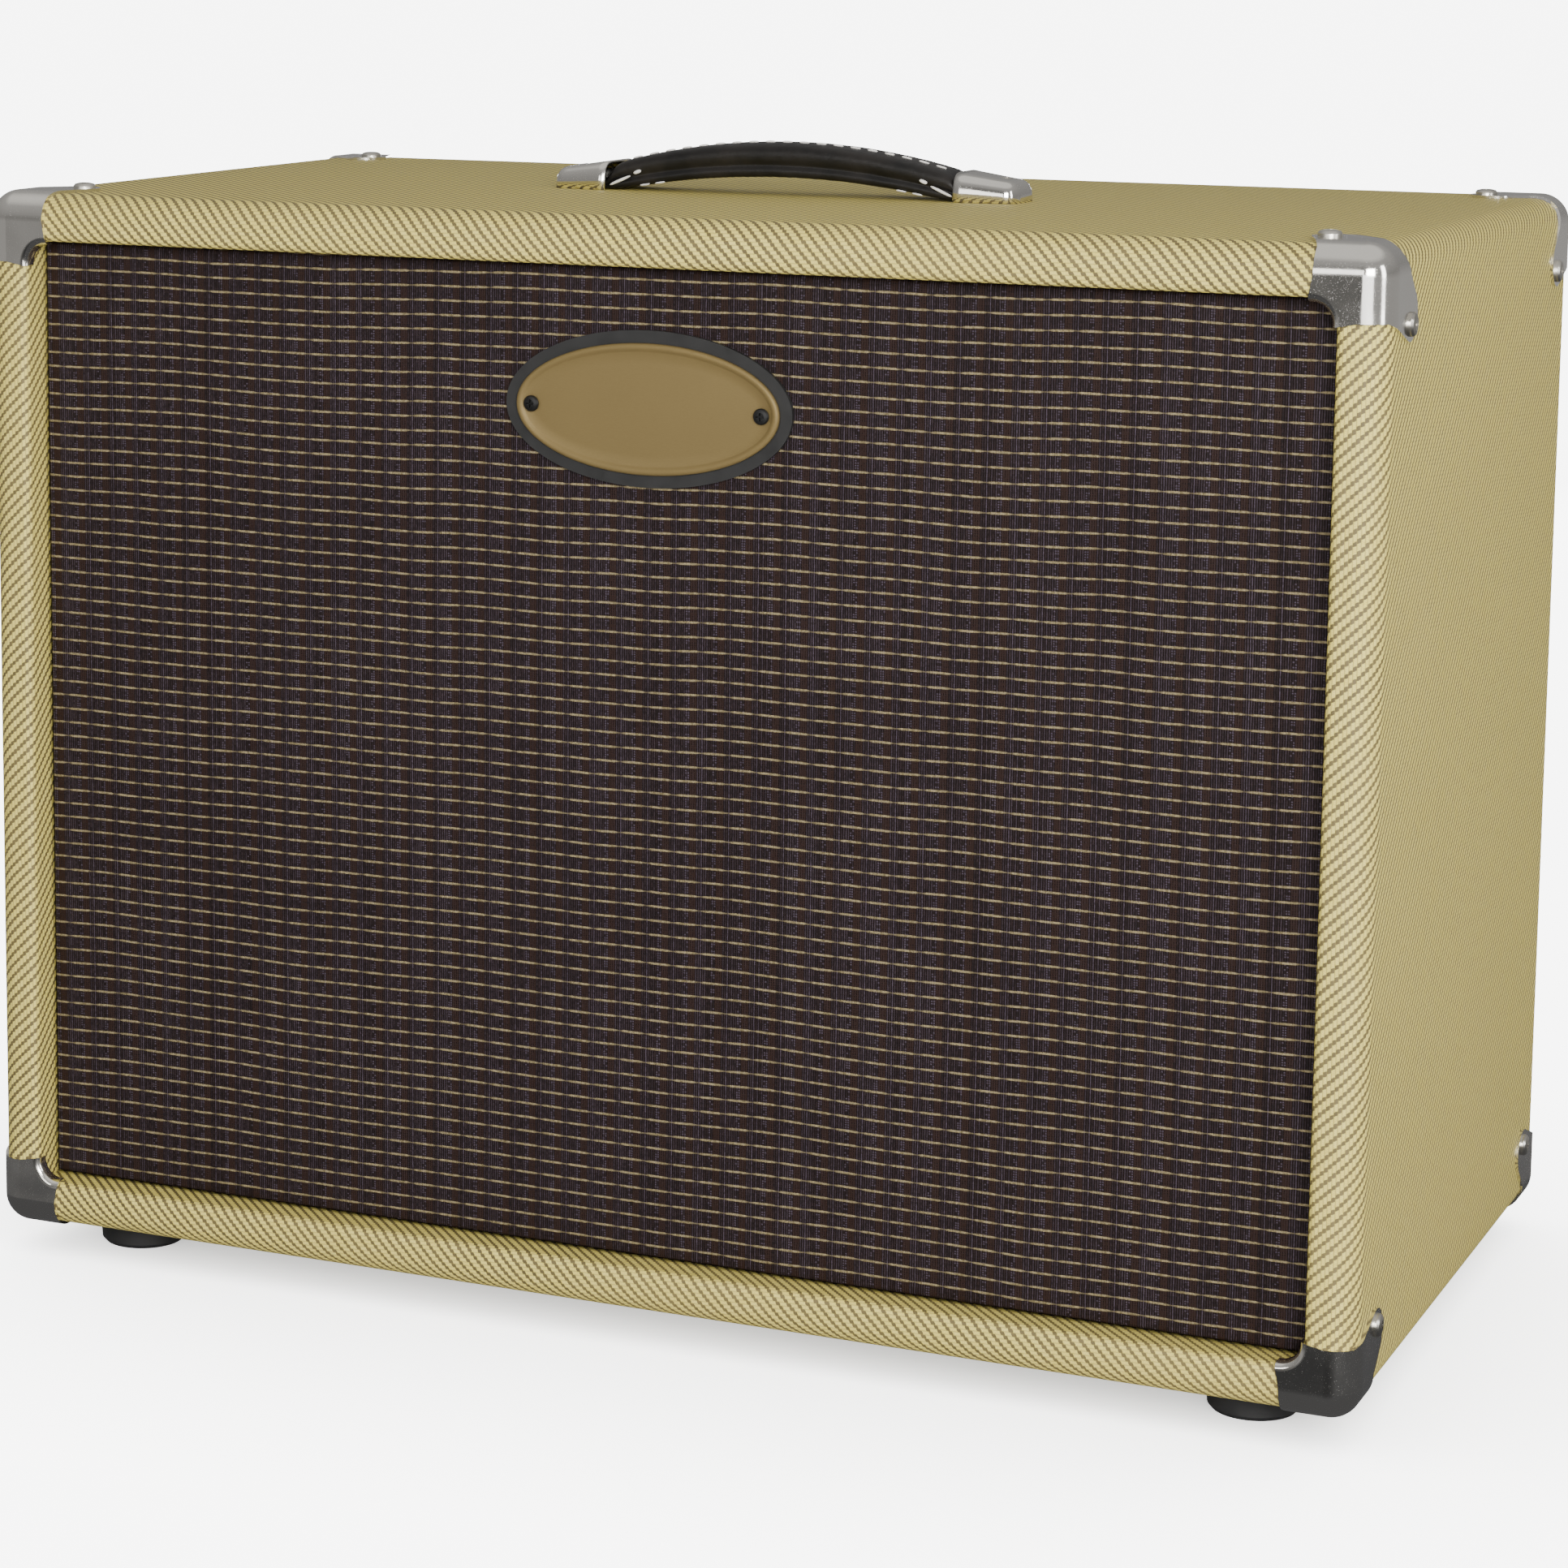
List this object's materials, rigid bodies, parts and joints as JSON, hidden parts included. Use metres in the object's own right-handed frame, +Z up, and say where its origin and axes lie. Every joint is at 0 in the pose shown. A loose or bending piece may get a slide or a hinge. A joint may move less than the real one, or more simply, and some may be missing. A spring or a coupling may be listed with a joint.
{
  "type": "guitar amplifier",
  "caption": "Tweed-covered open-back combo guitar amplifier with a woven grille, metal corner plates, a leather strap handle and a recessed rear control panel.",
  "frame": {"origin": "on the floor, at the middle of the box that holds the whole amplifier", "axes": "+X along the width, to the right as seen from the front; +Y to the back; +Z up; the grille faces -Y"},
  "size_m": [0.5968, 0.3224, 0.475],
  "materials": {
    "tweed": "diagonal twill weave, lacquered",
    "plywood": "raw birch plywood",
    "softwood": "sawn softwood",
    "black_plywood": "black-stained plywood",
    "grille_weave": "woven grille cloth",
    "plate_nickel": "bright nickel plate",
    "screw_steel": "dull nickel-plated steel",
    "black_screw": "black oxide",
    "foot_rubber": "matt black",
    "strap_leather": "black, semi-gloss, white stitching",
    "badge_black": "matt black",
    "badge_gold": "satin gold",
    "frame_paint": "satin black paint",
    "gasket_board": "pressed cork board",
    "cone_paper": "ribbed felted paper",
    "spider_cloth": "resin-treated cloth",
    "coil_copper": "wound copper",
    "motor_steel": "zinc plated",
    "magnet_ceramic": "ground ferrite",
    "tag_brass": "tinned tags on fibre board",
    "chassis_steel": "folded zinc-plated sheet",
    "control_chrome": "polished",
    "knob_plastic": "moulded, white pointer line",
    "pot_brass": "plain",
    "lamp_jewel": "red faceted jewel",
    "socket_plastic": "moulded",
    "board_fibre": "fibre board",
    "component_plastic": "dipped",
    "valve_ceramic": "glazed ceramic",
    "valve_glass": "clear, silvered top",
    "transformer_black": "enamelled",
    "lead_rubber": "insulated two-core lead"
  },
  "bodies": {
    "cabinet": {"tweed_covering": "tweed", "top_panel": "plywood", "bottom_panel": "plywood", "left_side_panel": "plywood", "right_side_panel": "plywood", "baffle_board": "plywood", "wood_cleats": "softwood", "upper_back_panel": "black_plywood", "lower_back_panel": "black_plywood", "grille_cloth": "grille_weave", "corner_top_front_left": "plate_nickel", "corner_top_front_right": "plate_nickel", "corner_top_back_left": "plate_nickel", "corner_top_back_right": "plate_nickel", "corner_bottom_front_left": "plate_nickel", "corner_bottom_front_right": "plate_nickel", "corner_bottom_back_left": "plate_nickel", "corner_bottom_back_right": "plate_nickel", "handle_cap_left": "plate_nickel", "handle_cap_right": "plate_nickel", "corner_screws": "screw_steel", "foot_screws": "screw_steel", "back_panel_screws": "screw_steel", "handle_screws": "screw_steel", "speaker_bolts": "screw_steel", "badge_screws": "black_screw", "rubber_feet": "foot_rubber", "badge_backing": "badge_black", "badge_plate": "badge_gold", "speaker_basket": "frame_paint", "speaker_gasket": "gasket_board", "speaker_surround": "cone_paper", "spider": "spider_cloth", "speaker_top_plate": "motor_steel", "speaker_yoke": "motor_steel", "speaker_magnet": "magnet_ceramic", "speaker_terminals": "tag_brass", "chassis": "chassis_steel", "control_plate": "control_chrome", "toggle_switches": "control_chrome", "potentiometers": "pot_brass", "pilot_lamp": "lamp_jewel", "jack_sockets": "socket_plastic", "mains_inlet": "socket_plastic", "circuit_board": "board_fibre", "board_components": "component_plastic", "valve_sockets": "valve_ceramic", "valves": "valve_glass", "power_transformer": "transformer_black", "output_transformer": "transformer_black", "speaker_lead": "lead_rubber"},
    "handle": {"handle_strap": "strap_leather"},
    "cone_assembly": {"speaker_cone": "cone_paper", "dust_cap": "cone_paper", "voice_coil": "coil_copper"},
    "volume_control": {"volume_knob": "knob_plastic"},
    "treble_control": {"treble_knob": "knob_plastic"},
    "bass_control": {"bass_knob": "knob_plastic"},
    "standby_lever": {"standby_toggle": "control_chrome"},
    "power_lever": {"power_toggle": "control_chrome"}
  },
  "joints": [
    {"name": "handle_lift", "type": "slide", "parent": "cabinet", "child": "handle", "axis": [0, 0, 1], "range_m": [0, 0.0035]},
    {"name": "cone_travel", "type": "slide", "parent": "cabinet", "child": "cone_assembly", "axis": [0, 1, 0], "range_m": [-0.004, 0.004], "stiffness_N_per_m": 5000, "deforming": ["speaker_surround", "spider"]},
    {"name": "volume_turn", "type": "hinge", "parent": "cabinet", "child": "volume_control", "pos_m": [0.14, 0.1336, 0.391], "axis": [0, 1, 0], "range_deg": [-150, 150]},
    {"name": "treble_turn", "type": "hinge", "parent": "cabinet", "child": "treble_control", "pos_m": [0.096, 0.1336, 0.391], "axis": [0, 1, 0], "range_deg": [-150, 150]},
    {"name": "bass_turn", "type": "hinge", "parent": "cabinet", "child": "bass_control", "pos_m": [0.052, 0.1336, 0.391], "axis": [0, 1, 0], "range_deg": [-150, 150]},
    {"name": "standby_flip", "type": "hinge", "parent": "cabinet", "child": "standby_lever", "pos_m": [-0.076, 0.136, 0.391], "axis": [1, 0, 0], "range_deg": [0, 24]},
    {"name": "power_flip", "type": "hinge", "parent": "cabinet", "child": "power_lever", "pos_m": [-0.112, 0.136, 0.391], "axis": [1, 0, 0], "range_deg": [0, 24]}
  ]
}
